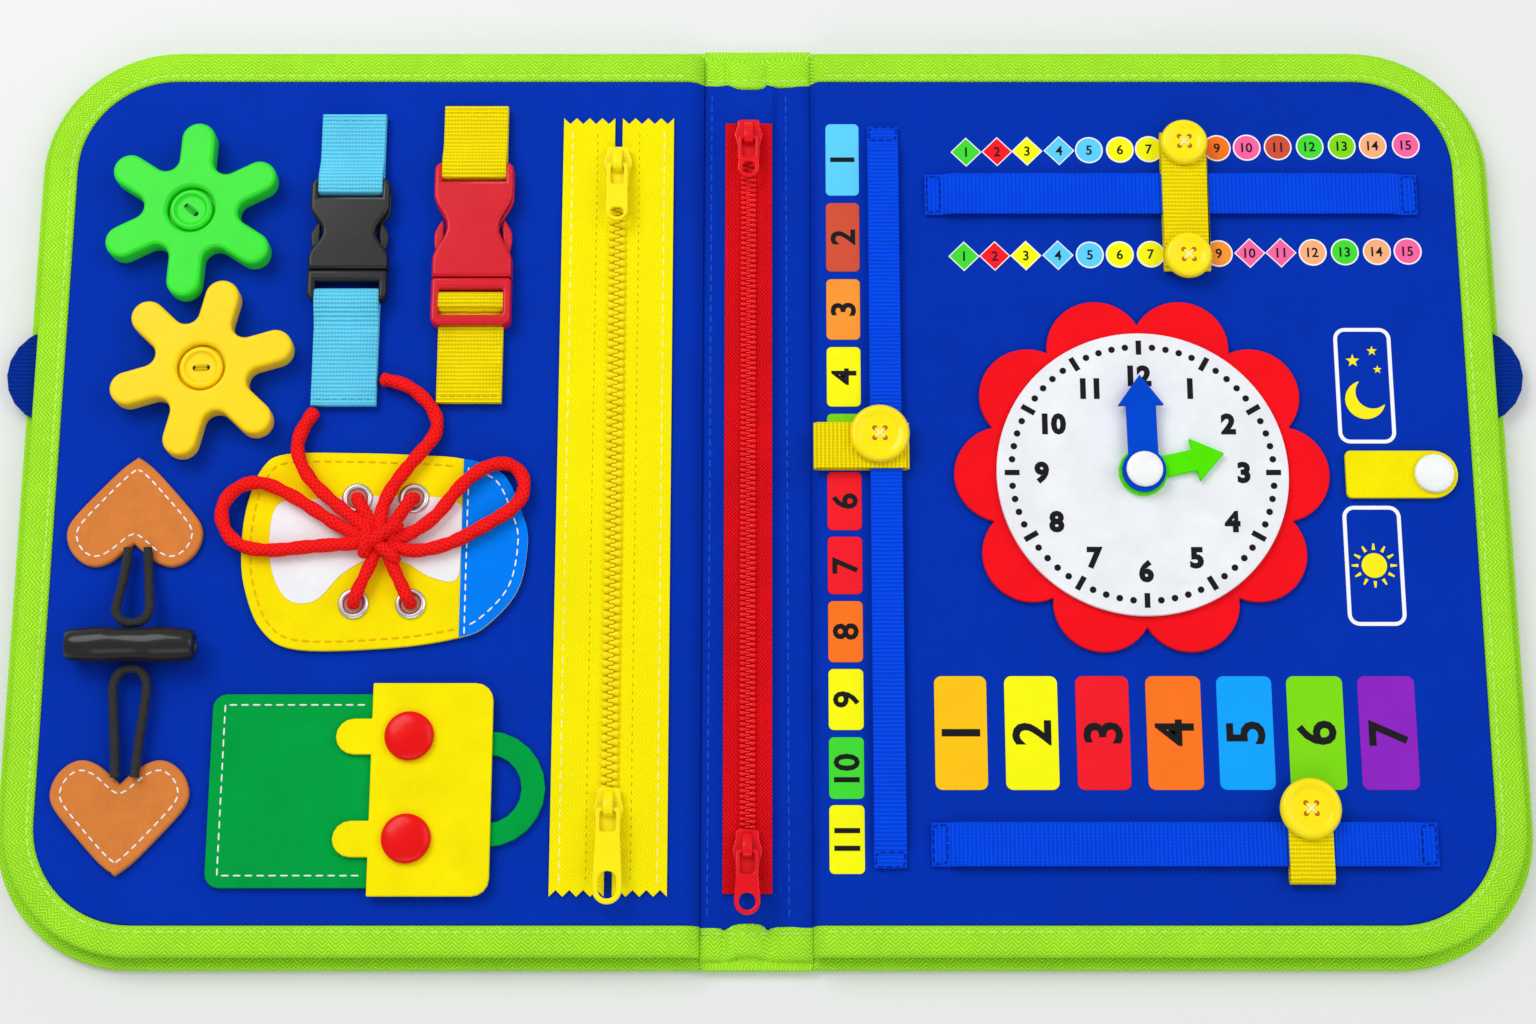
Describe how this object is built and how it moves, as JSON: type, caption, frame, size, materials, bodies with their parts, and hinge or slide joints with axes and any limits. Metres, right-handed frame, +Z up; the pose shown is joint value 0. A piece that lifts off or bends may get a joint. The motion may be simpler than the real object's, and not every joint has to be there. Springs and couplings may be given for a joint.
{
  "type": "activity book",
  "caption": "Open cloth and board activity book with meshing gears, buckles, a lacing patch, a toggle, a snap pocket, zips and a clock with sliding pointers.",
  "frame": {"origin": "middle of the open book's outline, on the surface that its covers lie on", "axes": "+X to the right along the open book, +Y to its head, +Z up"},
  "size_m": [0.563, 0.348, 0.0247],
  "materials": {
    "charcoal_felt": "felted, matte",
    "lime_binding": "woven tape, matte",
    "blue_webbing": "woven webbing",
    "pale_blue_webbing": "woven webbing",
    "yellow_webbing": "woven webbing",
    "green_felt": "thick felt",
    "yellow_felt": "thick felt",
    "red_felt": "thick felt",
    "blue_felt": "thick felt",
    "white_felt": "smooth felt",
    "green_plastic": "moulded",
    "yellow_plastic": "moulded",
    "black_plastic": "moulded, satin",
    "red_plastic": "moulded, satin",
    "white_plastic": "moulded",
    "red_lace": "braided",
    "black_cord": "braided",
    "tan_leather": "matte",
    "yellow_zip": "woven tape with moulded teeth",
    "red_zip": "woven tape with moulded teeth"
  },
  "bodies": {
    "spine": {"spine": "charcoal_felt", "red_zip_left": "red_zip", "red_zip_right": "red_zip"},
    "left_cover": {"left_cover": "charcoal_felt", "left_cover_binding": "lime_binding", "left_handle": "blue_webbing"},
    "right_cover": {"right_cover": "charcoal_felt", "right_cover_binding": "lime_binding", "right_handle": "blue_webbing"},
    "left_page": {"left_page": "charcoal_felt", "left_page_binding": "lime_binding", "green_gear_button": "green_plastic", "yellow_gear_button": "yellow_plastic", "blue_strap_lower": "pale_blue_webbing", "yellow_strap_lower": "yellow_webbing", "black_buckle_clip": "black_plastic", "red_buckle_clip": "red_plastic", "lacing_patch": "blue_felt", "lace": "red_lace", "upper_heart": "tan_leather", "lower_heart": "tan_leather", "catch_cord": "black_cord", "pocket": "green_felt", "yellow_zip_left": "yellow_zip", "yellow_zip_right": "yellow_zip"},
    "right_page": {"right_page": "charcoal_felt", "right_page_binding": "lime_binding", "month_webbing": "blue_webbing", "number_webbing": "blue_webbing", "day_webbing": "blue_webbing", "clock_flower": "red_felt", "clock_face": "white_felt", "clock_pin": "white_plastic", "am_pm_pin": "white_plastic"},
    "green_gear": {"green_gear": "green_felt"},
    "yellow_gear": {"yellow_gear": "yellow_felt"},
    "black_socket": {"black_buckle_socket": "black_plastic", "blue_strap_upper": "pale_blue_webbing"},
    "red_socket": {"red_buckle_socket": "red_plastic", "yellow_strap_upper": "yellow_webbing"},
    "toggle": {"toggle": "black_plastic", "toggle_cord": "black_cord"},
    "flap": {"pocket_flap": "yellow_felt", "snap_cap_upper": "red_plastic", "snap_cap_lower": "red_plastic"},
    "month_pointer": {"month_pointer": "yellow_webbing"},
    "number_pointer": {"number_pointer": "yellow_webbing"},
    "day_pointer": {"day_pointer": "yellow_webbing"},
    "hour_hand": {"hour_hand": "green_felt"},
    "minute_hand": {"minute_hand": "blue_felt"},
    "am_pm_pointer": {"am_pm_pointer": "yellow_webbing"},
    "yellow_slider_upper": {"yellow_slider_upper": "yellow_plastic"},
    "yellow_pull_upper": {"yellow_pull_upper": "yellow_plastic"},
    "yellow_slider_lower": {"yellow_slider_lower": "yellow_plastic"},
    "yellow_pull_lower": {"yellow_pull_lower": "yellow_plastic"},
    "red_slider_upper": {"red_slider_upper": "red_plastic"},
    "red_pull_upper": {"red_pull_upper": "red_plastic"},
    "red_slider_lower": {"red_slider_lower": "red_plastic"},
    "red_pull_lower": {"red_pull_lower": "red_plastic"}
  },
  "joints": [
    {"name": "left_fold", "type": "hinge", "parent": "spine", "child": "left_cover", "pos_m": [-0.023, 0, 0.0035], "axis": [0, 1, 0], "range_deg": [0, 90]},
    {"name": "right_fold", "type": "hinge", "parent": "spine", "child": "right_cover", "pos_m": [0.017, 0, 0.0035], "axis": [0, -1, 0], "range_deg": [0, 90]},
    {"name": "left_page_turn", "type": "hinge", "parent": "left_cover", "child": "left_page", "pos_m": [-0.023, 0, 0.00575], "axis": [0, -1, 0], "range_deg": [-85, 0]},
    {"name": "right_page_turn", "type": "hinge", "parent": "right_cover", "child": "right_page", "pos_m": [0.017, 0, 0.00575], "axis": [0, 1, 0], "range_deg": [-85, 0]},
    {"name": "green_gear_spin", "type": "hinge", "parent": "left_page", "child": "green_gear", "pos_m": [-0.2136, 0.1046, 0.0108], "axis": [0, 0, 1], "continuous": true},
    {"name": "yellow_gear_spin", "type": "hinge", "parent": "left_page", "child": "yellow_gear", "pos_m": [-0.2067, 0.0432, 0.0108], "axis": [0, 0, 1], "continuous": true},
    {"name": "black_buckle_unclip", "type": "slide", "parent": "left_page", "child": "black_socket", "axis": [0, -1, 0], "range_m": [-0.021, 0]},
    {"name": "red_buckle_unclip", "type": "slide", "parent": "left_page", "child": "red_socket", "axis": [0, -1, 0], "range_m": [-0.021, 0]},
    {"name": "toggle_lift", "type": "hinge", "parent": "left_page", "child": "toggle", "pos_m": [-0.2265, -0.024, 0.0149], "axis": [1, 0, 0], "range_deg": [-90, 0]},
    {"name": "flap_open", "type": "hinge", "parent": "left_page", "child": "flap", "pos_m": [-0.0968, -0.1111, 0.0147], "axis": [0, -1, 0], "range_deg": [-165, 0]},
    {"name": "month_slide", "type": "slide", "parent": "right_page", "child": "month_pointer", "axis": [0, -1, 0], "range_m": [-0.105, 0.134]},
    {"name": "number_slide", "type": "slide", "parent": "right_page", "child": "number_pointer", "axis": [1, 0, 0], "range_m": [-0.078, 0.068]},
    {"name": "day_slide", "type": "slide", "parent": "right_page", "child": "day_pointer", "axis": [1, 0, 0], "range_m": [-0.114, 0.026]},
    {"name": "hour_spin", "type": "hinge", "parent": "right_page", "child": "hour_hand", "pos_m": [0.1376, 0.0042, 0.0152], "axis": [0, 0, 1], "continuous": true},
    {"name": "minute_spin", "type": "hinge", "parent": "right_page", "child": "minute_hand", "pos_m": [0.1376, 0.0042, 0.0174], "axis": [0, 0, 1], "continuous": true},
    {"name": "am_pm_swing", "type": "hinge", "parent": "right_page", "child": "am_pm_pointer", "pos_m": [0.2441, 0.0042, 0.0108], "axis": [0, 0, 1], "range_deg": [-75, 75]},
    {"name": "yellow_slider_upper_slide", "type": "slide", "parent": "left_page", "child": "yellow_slider_upper", "axis": [0, 1, 0], "range_m": [-0.1, 0]},
    {"name": "yellow_pull_upper_swing", "type": "hinge", "parent": "yellow_slider_upper", "child": "yellow_pull_upper", "pos_m": [-0.0552, 0.1228, 0.01707], "axis": [1, 0, 0], "range_deg": [-160, 0]},
    {"name": "yellow_slider_lower_slide", "type": "slide", "parent": "left_page", "child": "yellow_slider_lower", "axis": [0, -1, 0], "range_m": [-0.1, 0]},
    {"name": "yellow_pull_lower_swing", "type": "hinge", "parent": "yellow_slider_lower", "child": "yellow_pull_lower", "pos_m": [-0.0552, -0.119, 0.01707], "axis": [1, 0, 0], "range_deg": [-160, 0]},
    {"name": "red_slider_upper_slide", "type": "slide", "parent": "spine", "child": "red_slider_upper", "axis": [0, 1, 0], "range_m": [-0.115, 0]},
    {"name": "red_pull_upper_swing", "type": "hinge", "parent": "red_slider_upper", "child": "red_pull_upper", "pos_m": [-0.0062, 0.1352, 0.01337], "axis": [1, 0, 0], "range_deg": [-160, 0]},
    {"name": "red_slider_lower_slide", "type": "slide", "parent": "spine", "child": "red_slider_lower", "axis": [0, -1, 0], "range_m": [-0.115, 0]},
    {"name": "red_pull_lower_swing", "type": "hinge", "parent": "red_slider_lower", "child": "red_pull_lower", "pos_m": [-0.0062, -0.1333, 0.01337], "axis": [1, 0, 0], "range_deg": [-160, 0]}
  ],
  "couplings": [
    {"joint": "yellow_gear_spin", "follows": "green_gear_spin", "ratio": -1}
  ]
}
